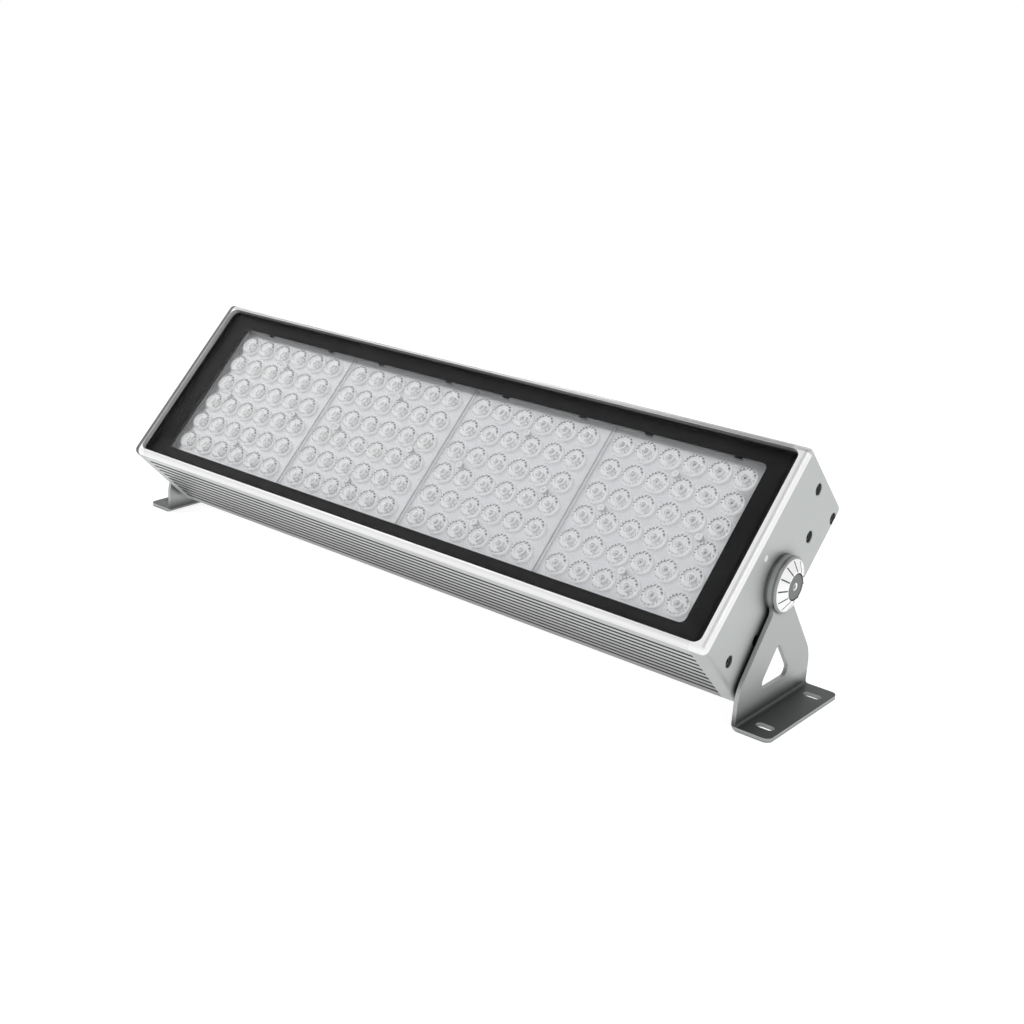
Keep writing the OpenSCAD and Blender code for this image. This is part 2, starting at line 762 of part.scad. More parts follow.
module input_leads() color("saddlebrown") for (side = [-1, 1]) in_head() {
    y = side * terminal_slot_pitch;
    start_x = terminal_x + terminal_l + lead_end_gap + lead_r;
    end_x = driver_x - driver_body_l / 2 - lead_end_gap - lead_r;
    z = web_bottom - terminal_h / 2;
    sag_z = web_bottom - driver_h / 2;
    lead([
        [start_x, y, z],
        [start_x + (end_x - start_x) / 4, y, sag_z],
        [end_x - (end_x - start_x) / 4, y / 2, sag_z],
        [end_x, y / 2, sag_z]
    ]);
}

module earth_screw() color("goldenrod") in_head() translate([earth_x, earth_y, web_bottom]) {
    translate([0, 0, -earth_eye_t]) cylinder(r = earth_screw_r, h = earth_screw_bite + earth_eye_t);
    translate([0, 0, -earth_eye_t - earth_head_h]) cylinder(r = earth_head_r, h = earth_head_h);
}

module earth_lead() color("yellowgreen") in_head() {
    translate([earth_x, earth_y, web_bottom - earth_eye_t]) difference() {
        cylinder(r = earth_eye_r, h = earth_eye_t);
        translate([0, 0, -cut]) cylinder(r = earth_screw_r + fit_gap, h = earth_eye_t + 2 * cut);
    }
    start_x = earth_x - earth_eye_r - lead_r / 2;
    lead([
        [start_x, earth_y, web_bottom - lead_r],
        [start_x - 2 * lead_r, earth_y, web_bottom - terminal_h / 4],
        [terminal_x + terminal_l + lead_end_gap + lead_r, 0, web_bottom - terminal_h / 2]
    ]);
}

// Cable gland: each piece is turned about its axis, outward from the back wall
module gland_body() color("darkgray") on_back(gland_x) difference() {
    union() {
        translate([0, 0, gland_inner_end])
            cylinder(r = gland_thread_r, h = gland_hex_bottom - gland_inner_end);
        translate([0, 0, gland_hex_bottom]) cylinder(r = gland_hex_r, h = gland_hex_h, $fn = 6);
        translate([0, 0, gland_hex_top]) cylinder(r = gland_neck_r, h = gland_neck_h);
    }
    translate([0, 0, gland_inner_end - cut]) cylinder(r = gland_bore_r, h = gland_neck_top);
    translate([0, 0, gland_neck_top - gland_seat_h]) cylinder(r = gland_seat_r, h = gland_seat_h + cut);
}

module gland_washer() color("dimgray") on_back(gland_x) difference() {
    cylinder(r = gland_washer_r, h = gland_washer_t);
    translate([0, 0, -cut]) cylinder(r = gland_thread_r + fit_gap, h = gland_washer_t + 2 * cut);
}

module gland_locknut() color("darkgray") on_back(gland_x) translate([0, 0, -back_t - locknut_t])
    difference() {
        cylinder(r = locknut_r, h = locknut_t, $fn = 6);
        translate([0, 0, -cut]) cylinder(r = gland_thread_r + fit_gap, h = locknut_t + 2 * cut);
    }

module gland_seal() color("dimgray") on_back(gland_x) translate([0, 0, gland_neck_top - gland_seat_h]) {
    length = gland_seat_h + gland_seal_proud;
    difference() {
        cylinder(r = gland_seat_r - running_gap, h = length);
        translate([0, 0, -cut]) cylinder(r = gland_seal_bore_r, h = length + 2 * cut);
    }
}

module gland_nut() color("darkgray") on_back(gland_x) {
    bottom = gland_hex_top + gland_nut_from_hex;
    hex_top = bottom + gland_nut_hex_h;
    inner_top = gland_neck_top + gland_seal_proud;
    difference() {
        union() {
            translate([0, 0, bottom]) cylinder(r = gland_hex_r, h = gland_nut_hex_h, $fn = 6);
            translate([0, 0, hex_top]) cylinder(
                r1 = gland_neck_r + gland_nut_end_t, r2 = gland_nut_end_r,
                h = inner_top + gland_nut_end_t - hex_top
            );
        }
        translate([0, 0, bottom - cut]) cylinder(r = gland_neck_r + fit_gap, h = inner_top - bottom + cut);
        translate([0, 0, bottom]) cylinder(r = gland_nut_hole_r, h = inner_top);
    }
}

module breather_plug() color("dimgray") on_back(breather_x) difference() {
    union() {
        translate([0, 0, -back_t - breather_thread_end])
            cylinder(r = breather_thread_r, h = back_t + breather_thread_end + 2 * breather_ring_t);
        translate([0, 0, breather_ring_t]) cylinder(r = breather_hex_r, h = breather_hex_h, $fn = 6);
        translate([0, 0, breather_ring_t + breather_hex_h / 2])
            cylinder(r = breather_cap_r - breather_hex_h / 4, h = breather_cap_h);
    }
    for (a = [1:breather_vent_count]) rotate([0, 0, a * 360 / breather_vent_count])
        translate([breather_vent_reach, 0, breather_ring_t + breather_cap_h])
            cylinder(r = breather_vent_r, h = breather_cap_h);
}

module breather_ring() color("black") on_back(breather_x) difference() {
    cylinder(r = breather_hex_r, h = breather_ring_t);
    translate([0, 0, -cut]) cylinder(r = breather_thread_r + fit_gap, h = breather_ring_t + 2 * cut);
}

// Brackets. The slanted sides point at the tilt axis, and fillets join them to the round head.
module neck_fillets() for (side = [-1, 1]) {
    down = [side * sin(bracket_side_angle), -cos(bracket_side_angle)];
    across = [side * cos(bracket_side_angle), sin(bracket_side_angle)];
    away = bracket_neck_r - neck_bite;
    reach = bracket_head_r + away;
    tangent = down * sqrt(reach * reach - away * away);
    centre = tangent + across * away;
    difference() {
        polygon([[0, 0], [0, tangent[1]], tangent, centre]);
        translate(centre) circle(bracket_neck_r);
    }
}

module upright_outline() {
    shoulder = bracket_w / 2 / tan(bracket_side_angle);
    window_apex = bracket_window_side / sin(bracket_side_angle);
    window_base = pivot_height - bracket_window_base;
    window_half = (window_base - window_apex) * tan(bracket_side_angle);
    difference() {
        union() {
            circle(bracket_head_r);
            neck_fillets();
            soft_polygon(
                [
                    [0, 0], [bracket_w / 2, -shoulder], [bracket_w / 2, bend_z - pivot_height],
                    [-bracket_w / 2, bend_z - pivot_height], [-bracket_w / 2, -shoulder]
                ],
                [0, bracket_shoulder_r, 0, 0, bracket_shoulder_r]
            );
        }
        circle(bolt_bore_r);
        for (side = [-1, 1]) translate([side * peg_reach, 0]) circle(peg_r + running_gap);
        soft_polygon(
            [[0, -window_apex], [window_half, -window_base], [-window_half, -window_base]],
            [window_top_r, window_base_r, window_base_r]
        );
    }
}

module foot_outline() difference() {
    soft_polygon(
        [
            [bend_x, -bracket_w / 2], [upright_out + foot_l, -bracket_w / 2],
            [upright_out + foot_l, bracket_w / 2], [bend_x, bracket_w / 2]
        ],
        [0, foot_corner_r, foot_corner_r, 0]
    );
    for (side = [-1, 1]) translate([upright_out + slot_out, side * slot_spacing / 2]) slot(slot_l, slot_w);
}

module bracket() color("lightgray") {
    outer = bend_r + bracket_t;
    right_pivot() translate([0, 0, -bracket_t]) linear_extrude(bracket_t) upright_outline();
    translate([bend_x, bracket_w / 2, bend_z]) rotate([90, 0, 0]) linear_extrude(bracket_w) intersection() {
        difference() {
            circle(outer);
            circle(bend_r);
        }
        translate([-outer, -outer]) square(outer);
    }
    linear_extrude(bracket_t) foot_outline();
}

// Tilt dial, keyed to the bracket by two pegs, with the lock bolt sunk in it
module tilt_dial() color("silver") {
    fall = dial_h - dial_rim_h - dial_edge;
    run = dial_r - dial_edge - dial_ring_r;
    slope = atan2(fall, run);
    inner = dial_recess_r - dial_edge;
    length = (dial_groove_reach - inner) / cos(slope);
    difference() {
        rotate_extrude() polygon([
            [bolt_bore_r, 0], [dial_r, 0], [dial_r, dial_rim_h],
            [dial_r - dial_edge, dial_rim_h + dial_edge], [dial_ring_r, dial_h],
            [dial_recess_r, dial_h], [dial_recess_r, dial_floor_t], [bolt_bore_r, dial_floor_t]
        ]);
        for (i = [1:dial_groove_count]) rotate([0, 0, i * 360 / dial_groove_count])
            translate([dial_ring_r, 0, dial_h]) rotate([0, slope, 0])
                translate([(inner - dial_ring_r) / cos(slope), -dial_groove_w / 2, -dial_groove_depth])
                    cube([length, dial_groove_w, 2 * dial_h]);
    }
    for (side = [-1, 1]) translate([side * peg_reach, 0, -peg_l])
        cylinder(r = peg_r, h = peg_l + dial_rim_h / 2);
}

module spring_washer() color("lightgray") translate([0, 0, dial_floor_t]) difference() {
    cylinder(r = washer_r, h = washer_t);
    translate([0, 0, -cut]) cylinder(r = bolt_r + fit_gap, h = washer_t + 2 * cut);
    translate([0, -washer_split / 2, -cut]) cube([washer_r + cut, washer_split, washer_t + 2 * cut]);
}

module lock_bolt() color("dimgray") {
    seat = dial_floor_t + washer_t;
    tip = -bracket_t - base_ring_t - insert_depth + bolt_tip_gap;
    top = seat + bolt_head_h;
    difference() {
        union() {
            translate([0, 0, tip]) cylinder(r = bolt_r, h = seat - tip);
            translate([0, 0, seat]) cylinder(r = bolt_head_r, h = bolt_head_h - bolt_edge);
            translate([0, 0, top - bolt_edge])
                cylinder(r1 = bolt_head_r, r2 = bolt_head_r - bolt_edge, h = bolt_edge);
        }
        translate([0, 0, top - bolt_socket_depth]) cylinder(r = bolt_socket_r, h = bolt_head_h, $fn = 6);
        translate([0, 0, top - bolt_socket_mouth_depth]) cylinder(
            r1 = bolt_socket_r, r2 = bolt_socket_mouth_r + bolt_socket_mouth_depth,
            h = 2 * bolt_socket_mouth_depth
        );
    }
}

housing_extrusion();
left_end() color("silver") end_cap();  // end_cap_left
right_end() color("silver") end_cap();  // end_cap_right
left_end() color("dimgray") end_gasket();  // end_gasket_left
right_end() color("dimgray") end_gasket();  // end_gasket_right
left_end() cap_screws();  // cap_screws_left
right_end() cap_screws();  // cap_screws_right
front_glass();
glass_border();
glass_gasket();
glass_sealant();
lens_module(1);  // lens_module_1
lens_module(2);  // lens_module_2
lens_module(3);  // lens_module_3
lens_module(4);  // lens_module_4
led_board(1);  // led_board_1
led_board(2);  // led_board_2
led_board(3);  // led_board_3
led_board(4);  // led_board_4
led_chips(1);  // led_chips_1
led_chips(2);  // led_chips_2
led_chips(3);  // led_chips_3
led_chips(4);  // led_chips_4
thermal_pads();
module_screws();
board_connectors();
board_jumpers();
led_driver();
driver_screws();
output_leads();
web_grommet();
terminal_block();
input_leads();
earth_screw();
earth_lead();
gland_body();
gland_washer();
gland_locknut();
gland_seal();
gland_nut();
breather_plug();
breather_ring();
left_end() index_dot();  // index_dot_left
right_end() index_dot();  // index_dot_right
left_end() pivot_insert();  // pivot_insert_left
right_end() pivot_insert();  // pivot_insert_right
left_end() base_ring();  // base_ring_left
right_end() base_ring();  // base_ring_right
mirror([1, 0, 0]) bracket();  // bracket_left
bracket();  // bracket_right
left_pivot() tilt_dial();  // tilt_dial_left
right_pivot() tilt_dial();  // tilt_dial_right
left_pivot() spring_washer();  // spring_washer_left
right_pivot() spring_washer();  // spring_washer_right
left_pivot() lock_bolt();  // lock_bolt_left
right_pivot() lock_bolt();  // lock_bolt_right
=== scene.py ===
import json
import math

import bmesh
import bpy
from mathutils import Matrix, Vector


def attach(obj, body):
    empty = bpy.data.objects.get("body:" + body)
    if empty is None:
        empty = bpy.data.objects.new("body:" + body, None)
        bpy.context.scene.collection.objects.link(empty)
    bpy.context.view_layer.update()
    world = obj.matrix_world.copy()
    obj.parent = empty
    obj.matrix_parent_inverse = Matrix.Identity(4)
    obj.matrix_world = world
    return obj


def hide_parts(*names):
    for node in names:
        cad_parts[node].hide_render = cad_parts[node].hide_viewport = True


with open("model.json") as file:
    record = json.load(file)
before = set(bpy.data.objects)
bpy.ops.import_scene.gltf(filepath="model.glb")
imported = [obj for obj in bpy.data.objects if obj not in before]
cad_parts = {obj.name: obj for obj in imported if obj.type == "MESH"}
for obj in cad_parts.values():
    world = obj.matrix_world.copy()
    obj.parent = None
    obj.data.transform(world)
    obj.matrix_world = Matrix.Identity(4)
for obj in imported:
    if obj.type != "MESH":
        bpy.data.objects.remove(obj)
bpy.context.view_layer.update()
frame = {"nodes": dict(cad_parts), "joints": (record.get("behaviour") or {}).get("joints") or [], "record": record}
nodes = frame["nodes"]
MM = 0.001

# The head's own axes: x along the lamp, y up its face, z out of its face, from the tilt axis
TILT = math.radians(45)
PIVOT = Vector(next(j for j in frame["joints"] if j["name"] == "head_tilt")["pos_m"])
HEAD = Matrix.Translation(PIVOT) @ Matrix.Rotation(TILT, 4, "X")
FACE_UP = (0, math.cos(TILT), math.sin(TILT))
FACE_OUT = (0, -math.sin(TILT), math.cos(TILT))
MODULE_COUNT = 4

# Lenses: rings as radius and height over the plate, from the foot to the crown
LENS_PITCH = 20 * MM
LENS_ROWS = 6
LENS_H = 4.6 * MM
LENS_RINGS = [(r * MM, h * MM) for r, h in (
    (8.6, 0), (8.6, 0.35), (8.3, 0.45), (8.3, 1.5), (8.1, 2.5), (7.6, 3.3), (6.8, 3.9),
    (5.6, 4.35), (4.6, 4.6), (4.2, 4.55), (3.9, 4.1), (3.4, 3.75), (2.6, 3.65), (2.15, 3.8),
    (1.9, 4.2), (1.4, 4.45), (0.7, 4.55))]
LENS_CROWN = 4.6 * MM
LENS_SIDES = 48
FLUTED_RINGS = (3, 4, 5)
FLUTE_EVERY = 3
FLUTE_DEPTH = 0.45 * MM
CAVITY_RINGS = [(r * MM, h * MM) for r, h in ((8.3, 0), (3, 0), (2.9, 0.9), (2.4, 1.7), (1.35, 2.1))]
CAVITY_CROWN = 2.2 * MM

# The plate that carries the lenses, with its skirt and the notches for the connectors
LENS_FIELD = LENS_PITCH * LENS_ROWS / 2
PLATE_T = 2 * MM
SKIRT_T = 1.5 * MM
SKIRT_GAP = 0.01 * MM
BOARD_GAP = 1.7 * MM
NOTCH_X = (33.4 * MM, 39.9 * MM)
NOTCH_Y = 63.7 * MM

# The optic's materials, by their index
CLEAR, HIGHLIGHT_BAND, DEEP_SHADE_BAND, MILKY, EDGE, SHADE = range(6)

# Painted bands of a lens, with painted highlights and painted shade in place of its inner reflections: heights
# over the plate and radii in millimetres, turns as sides of the lens counted from the lamp's right, and the
# materials between the flutes and at the flutes.
# The first band that holds a face counts, and the rest of the lens is clear.
ALL_ROUND = (0, LENS_SIDES)
LENS_R = 8.7
PLATE_SIDE = (-1.95, -0.05)
BELOW_PLATE = -2.005
LENS_BANDS = (
    ((-3, -1.95), (3, LENS_R), ALL_ROUND, HIGHLIGHT_BAND, HIGHLIGHT_BAND),
    ((-3, 0), (0, 3), ALL_ROUND, MILKY, MILKY),
    ((-1.95, 0.45), (8.2, LENS_R), ALL_ROUND, HIGHLIGHT_BAND, HIGHLIGHT_BAND),
    ((2.4, 4), (6.3, LENS_R), (3, 12), HIGHLIGHT_BAND, SHADE),
    ((2.4, 4), (6.3, LENS_R), ALL_ROUND, HIGHLIGHT_BAND, CLEAR),
    ((3.9, 4.7), (5.7, 6.7), (9, 27), HIGHLIGHT_BAND, DEEP_SHADE_BAND),
    ((4.3, 4.7), (4.7, 5.6), (13, 24), SHADE, SHADE),
    ((3.7, 4.7), (3.4, 4.4), ALL_ROUND, HIGHLIGHT_BAND, HIGHLIGHT_BAND),
)

# LED packages
CHIP_SIZE = 3.5 * MM
CHIP_H = 0.7 * MM
CHIP_DOME_R = 1.35 * MM
CHIP_DOME_H = 0.8 * MM
CHIP_DOME_ANGLES = (0, 0.4, 0.8, 1.2)
CHIP_TOP_SHARE = 0.92
CHIP_SIDES = 16

# Where the painted highlights and painted shade begin and are full, from the middle of the tilt axis:
# levels out of the face, heights up the face, places along the lamp, and radii on the dial and bolt.
# The foot's heights are from the floor.
SIDE_LEVELS = (33 * MM, -36 * MM)
LOWER_SIDE = (-76 * MM, -78 * MM)
LIP_LEVELS = (42.3 * MM, 42.6 * MM)
LIP_TOP = (74.6 * MM, 74.8 * MM)
LEFT_END = (-280.3 * MM, -280.6 * MM)
LEFT_END_LEVELS = (40 * MM, 41 * MM)
GROOVE_MOUTH = (79.96 * MM, 79.6 * MM)
GROOVE_FLOOR = (78.2 * MM, 78.3 * MM)
GROOVES_BACK = (-32 * MM, -31 * MM)
GROOVES_FRONT = (35.6 * MM, 35.5 * MM)
FOOT_TOP = (2.9 * MM, 2.95 * MM)
FOOT_BEND = (16 * MM, 3 * MM)
DIAL_RIM_SHADE = (17.9 * MM, 18.6 * MM)
MARK_COUNT = 12
MARK_W = 0.65 * MM
MARKS_INNER = (10 * MM, 10.3 * MM)
MARKS_OUTER = (17.6 * MM, 17.2 * MM)
MARK_EDGE_SHARES = (1.15, 0.85)
SOCKET_HIGHLIGHT_INNER = (1.1 * MM, 1.4 * MM)
SOCKET_HIGHLIGHT_OUTER = (2.9 * MM, 2.6 * MM)

# Finishes
# Colour of the painted shade in corners and gaps, and the share of a finish's own colour left where it is deepest
CREVICE_SHADE = (0.01, 0.01, 0.01, 1)
CREVICE_SHADE_LEFT = 0.04
ALONG = (0.02, 1, 1)
PANE_IOR = 1.09
CORE_MILK = 0.7
WELD = 0.002 * MM

# Camera and studio
CAMERA_AT = (0.707, -0.835, 0.4508)
CAMERA_TURN = (69.5135, -2.5716, 40.4426)
CAMERA_LENS = 51.900
CAMERA_SENSOR = 36
CAMERA_SHIFT = (0.0410, 0.0273)
FLOOR_R = 3.0
FLOOR_DROP = 0.1 * MM
FLOOR_FADE = (0.9, 1.8)
FLOOR_GLOW = 0.8
SKY_HEIGHTS = (0.38, 0.75)
SKY_STRENGTHS = (1.0, 0.22)
LAMPS_AIM = Vector((0, 0, 0.09))
LAMPS = (
    ("face", (-1.2, -0.64, 1.55), 1.2, 8),
    ("edge", (1.35, -0.4, 1.2), 0.9, 4),
    ("back", (-1.08, 0.85, 1.15), 0.7, 5),
    ("top", (0.12, 0.95, 1.53), 0.8, 4),
)


def head_box(node):
    """Lowest and highest corner of a node, in the head's own axes."""
    to_head = HEAD.inverted()
    points = [to_head @ v.co for v in nodes[node].data.vertices]
    low = Vector([min(p[i] for p in points) for i in range(3)])
    high = Vector([max(p[i] for p in points) for i in range(3)])
    return low, high


# Node helpers
def material(name):
    """A new material with a Principled shader, as (material, node tree, shader)."""
    made = bpy.data.materials.new(name)
    made.use_nodes = True
    tree = made.node_tree
    tree.nodes.clear()
    out = tree.nodes.new("ShaderNodeOutputMaterial")
    shader = tree.nodes.new("ShaderNodeBsdfPrincipled")
    tree.links.new(shader.outputs["BSDF"], out.inputs["Surface"])
    return made, tree, shader


def value_of(tree, socket, value):
    """Links value to socket if it is an output, or else sets it."""
    if isinstance(value, bpy.types.NodeSocket):
        tree.links.new(value, socket)
    else:
        socket.default_value = value


def maths(tree, operation, a, b=0.0):
    """The result of a Math node."""
    node = tree.nodes.new("ShaderNodeMath")
    node.operation = operation
    value_of(tree, node.inputs[0], a)
    value_of(tree, node.inputs[1], b)
    return node.outputs[0]


def place(tree, stretch=(1, 1, 1)):
    """Object coordinates, stretched along each axis."""
    coordinates = tree.nodes.new("ShaderNodeTexCoord")
    mapping = tree.nodes.new("ShaderNodeMapping")
    mapping.inputs["Scale"].default_value = stretch
    tree.links.new(coordinates.outputs["Object"], mapping.inputs["Vector"])
    return mapping.outputs["Vector"]


def noise(tree, scale, stretch=(1, 1, 1)):
    """A cloudy factor; the scale is in clouds per metre."""
    node = tree.nodes.new("ShaderNodeTexNoise")
    node.inputs["Scale"].default_value = scale
    node.inputs["Detail"].default_value = 3
    node.inputs["Roughness"].default_value = 0.55
    tree.links.new(place(tree, stretch), node.inputs["Vector"])
    return node.outputs["Fac"]


def spread(tree, factor, low, high):
    """Maps a factor around its middle to the range from low to high."""
    node = tree.nodes.new("ShaderNodeMapRange")
    node.inputs["From Min"].default_value = 0.3
    node.inputs["From Max"].default_value = 0.7
    node.inputs["To Min"].default_value = low
    node.inputs["To Max"].default_value = high
    tree.links.new(factor, node.inputs["Value"])
    return node.outputs["Result"]


def blend_colour(tree, factor, a, b):
    """Colour a where the factor is 0, and b where it is 1."""
    node = tree.nodes.new("ShaderNodeMix")
    node.data_type = "RGBA"
    value_of(tree, node.inputs["Factor"], factor)
    value_of(tree, node.inputs["A"], a)
    value_of(tree, node.inputs["B"], b)
    return node.outputs["Result"]


def shade(colour, k):
    """The colour made k times as bright."""
    return tuple(min(1.0, c * k) for c in colour[:3]) + (1.0,)


def bump(tree, shader, height, depth):
    """Relief of this depth on a shader, as its node."""
    node = tree.nodes.new("ShaderNodeBump")
    node.inputs["Distance"].default_value = depth
    node.inputs["Strength"].default_value = 1.0
    tree.links.new(height, node.inputs["Height"])
    tree.links.new(node.outputs["Normal"], shader.inputs["Normal"])
    return node


def soften_edges(tree, bump_node, radius):
    """Rounds the shading of sharp edges over this radius."""
    node = tree.nodes.new("ShaderNodeBevel")
    node.samples = 4
    node.inputs["Radius"].default_value = radius
    tree.links.new(node.outputs["Normal"], bump_node.inputs["Normal"])


def from_pivot(tree):
    """Object coordinates, counted from the middle of the tilt axis."""
    coordinates = tree.nodes.new("ShaderNodeTexCoord")
    centred = tree.nodes.new("ShaderNodeVectorMath")
    centred.operation = "SUBTRACT"
    centred.inputs[1].default_value = PIVOT
    tree.links.new(coordinates.outputs["Object"], centred.inputs[0])
    return centred.outputs[0]


def reach(tree, along):
    """Distance from the middle of the tilt axis along a direction."""
    dot = tree.nodes.new("ShaderNodeVectorMath")
    dot.operation = "DOT_PRODUCT"
    dot.inputs[1].default_value = along
    tree.links.new(from_pivot(tree), dot.inputs[0])
    return dot.outputs["Value"]


def ramp(tree, value, start, end):
    """Rises smoothly from 0 at start to 1 at end."""
    node = tree.nodes.new("ShaderNodeMapRange")
    node.interpolation_type = "SMOOTHSTEP"
    node.inputs["From Min"].default_value = start
    node.inputs["From Max"].default_value = end
    tree.links.new(value, node.inputs["Value"])
    return node.outputs["Result"]


def all_of(tree, *factors):
    """The product of all the factors."""
    product = factors[0]
    for factor in factors[1:]:
        product = maths(tree, "MULTIPLY", product, factor)
    return product


def painted_side_shade(tree):
    """Rises from front to back on the lower side, for painted shade there."""
    return all_of(tree, ramp(tree, reach(tree, FACE_OUT), *SIDE_LEVELS),
                  ramp(tree, reach(tree, FACE_UP), *LOWER_SIDE))


def painted_lip_highlight(tree):
    """1 on the front lip, for a painted highlight."""
    return ramp(tree, reach(tree, FACE_OUT), *LIP_LEVELS)


def painted_left_end_shade(tree):
    """1 on top of the front lip at the lamp's left end, for painted shade."""
    return all_of(tree, ramp(tree, reach(tree, (1, 0, 0)), *LEFT_END),
                  ramp(tree, reach(tree, FACE_OUT), *LEFT_END_LEVELS))


def painted_top_lip_highlight(tree):
    """1 on the front lip at the lamp's top, for a dimmer painted highlight."""
    return all_of(tree, ramp(tree, reach(tree, FACE_UP), *LIP_TOP),
                  ramp(tree, reach(tree, FACE_OUT), *LIP_LEVELS))


def painted_groove_shade(tree):
    """1 in the long grooves of the housing's sides, for painted shade."""
    across = maths(tree, "ABSOLUTE", reach(tree, FACE_UP))
    level = reach(tree, FACE_OUT)
    return all_of(tree, ramp(tree, across, *GROOVE_MOUTH), ramp(tree, across, *GROOVE_FLOOR),
                  ramp(tree, level, *GROOVES_BACK), ramp(tree, level, *GROOVES_FRONT))


def painted_foot_shade(tree):
    """1 on top of a bracket's foot, fading up the bend, for painted shade."""
    height = maths(tree, "ADD", reach(tree, (0, 0, 1)), PIVOT.z)
    return all_of(tree, ramp(tree, height, *FOOT_TOP), ramp(tree, height, *FOOT_BEND))


def painted_mark_shade(tree):
    """1 in the dial's radial graduation grooves, for painted shade."""
    y, z = reach(tree, (0, 1, 0)), reach(tree, (0, 0, 1))
    radius = maths(tree, "POWER", maths(tree, "ADD", maths(tree, "MULTIPLY", y, y),
                                        maths(tree, "MULTIPLY", z, z)), 0.5)
    turn = maths(tree, "MULTIPLY", maths(tree, "ARCTAN2", z, y), MARK_COUNT / 2)
    offset = maths(tree, "MULTIPLY", maths(tree, "ABSOLUTE", maths(tree, "SINE", turn)), radius)
    half = MARK_W * MARK_COUNT / 4
    return all_of(tree, ramp(tree, offset, *[share * half for share in MARK_EDGE_SHARES]),
                  ramp(tree, radius, *MARKS_INNER), ramp(tree, radius, *MARKS_OUTER))


def painted_crevice_shade(tree, depth):
    """1 in the open, falling in corners and gaps up to this deep, for painted shade there."""
    node = tree.nodes.new("ShaderNodeAmbientOcclusion")
    node.samples = 6
    node.inputs["Distance"].default_value = depth
    open_part = tree.nodes.new("ShaderNodeMapRange")
    open_part.inputs["From Min"].default_value = 0.1
    open_part.inputs["From Max"].default_value = 0.85
    open_part.inputs["To Min"].default_value = CREVICE_SHADE_LEFT
    tree.links.new(node.outputs["AO"], open_part.inputs["Value"])
    return open_part.outputs["Result"]


def surface(name, colour, roughness, metallic=0.0, patch=0.05, patch_scale=25, grain_scale=2500,
            grain_stretch=(1, 1, 1), grain_depth=0.02 * MM, grain_rough=0.06, edge=0.0, specular=0.5,
            tones=(), crevice_shade=0.0):
    """A finish with cloudy colour, a fine grain that moves roughness and relief, soft edges, painted highlights
    and painted shade in other tones where a mask gives 1, and painted shade in corners and gaps up to this deep."""
    made, tree, shader = material(name)
    cloud = spread(tree, noise(tree, patch_scale), 0, 1)
    grain = noise(tree, grain_scale, grain_stretch)
    tone = blend_colour(tree, cloud, shade(colour, 1 - patch), shade(colour, 1 + patch))
    # Painted shade in corners and gaps
    if crevice_shade:
        tone = blend_colour(tree, painted_crevice_shade(tree, crevice_shade), CREVICE_SHADE, tone)
    # Painted highlights and painted shade where each mask gives 1
    for mask, other in tones:
        tone = blend_colour(tree, mask(tree), tone, shade(other, 1))
    tree.links.new(tone, shader.inputs["Base Color"])
    rough = maths(tree, "ADD", spread(tree, grain, roughness - grain_rough, roughness + grain_rough),
                  spread(tree, cloud, -0.02, 0.02))
    tree.links.new(rough, shader.inputs["Roughness"])
    shader.inputs["Metallic"].default_value = metallic
    shader.inputs["Specular IOR Level"].default_value = specular
    relief = bump(tree, shader, grain, grain_depth)
    if edge:
        soften_edges(tree, relief, edge)
    return made


def turned(name, colour, roughness, pitch=0.25 * MM, depth=0.01 * MM, edge=0.3 * MM,
           marked=False, socket=False):
    """Metal turned on a lathe, with rings about the tilt axis, and painted shade on a dial's rim and
    in its marks or a painted highlight on a socket in the middle."""
    made, tree, shader = material(name)
    across = tree.nodes.new("ShaderNodeVectorMath")
    across.operation = "MULTIPLY"
    across.inputs[1].default_value = (0, 1, 1)
    tree.links.new(from_pivot(tree), across.inputs[0])
    length = tree.nodes.new("ShaderNodeVectorMath")
    length.operation = "LENGTH"
    tree.links.new(across.outputs[0], length.inputs[0])
    radius = length.outputs["Value"]
    rings = tree.nodes.new("ShaderNodeTexNoise")
    rings.noise_dimensions = "1D"
    rings.inputs["Scale"].default_value = 1 / pitch
    rings.inputs["Detail"].default_value = 3
    tree.links.new(radius, rings.inputs["W"])
    cloud = spread(tree, noise(tree, 60), 0, 1)
    tone = blend_colour(tree, cloud, shade(colour, 0.95), shade(colour, 1.04))
    # Painted shade on the dial's rim and in its marks
    if marked:
        tone = blend_colour(tree, ramp(tree, radius, *DIAL_RIM_SHADE), tone, shade(colour, 0.32))
        tone = blend_colour(tree, painted_mark_shade(tree), tone, shade(colour, 0.12))
    # Painted shade in corners and gaps up to 6 mm deep
    tone = blend_colour(tree, painted_crevice_shade(tree, 6 * MM), CREVICE_SHADE, tone)
    # A painted highlight on the socket in the middle
    if socket:
        socket_highlight_mask = all_of(tree, ramp(tree, radius, *SOCKET_HIGHLIGHT_OUTER), ramp(tree, radius, *SOCKET_HIGHLIGHT_INNER))
        tone = blend_colour(tree, socket_highlight_mask, tone, (0.95, 0.95, 0.95, 1))
    tree.links.new(tone, shader.inputs["Base Color"])
    tree.links.new(spread(tree, rings.outputs["Fac"], roughness - 0.06, roughness + 0.08),
                   shader.inputs["Roughness"])
    shader.inputs["Metallic"].default_value = 1.0
    relief = bump(tree, shader, rings.outputs["Fac"], depth)
    soften_edges(tree, relief, edge)
    return made


def surface_end(tree):
    """The socket that a material's surface goes into."""
    return next(n for n in tree.nodes if n.type == "OUTPUT_MATERIAL").inputs["Surface"]


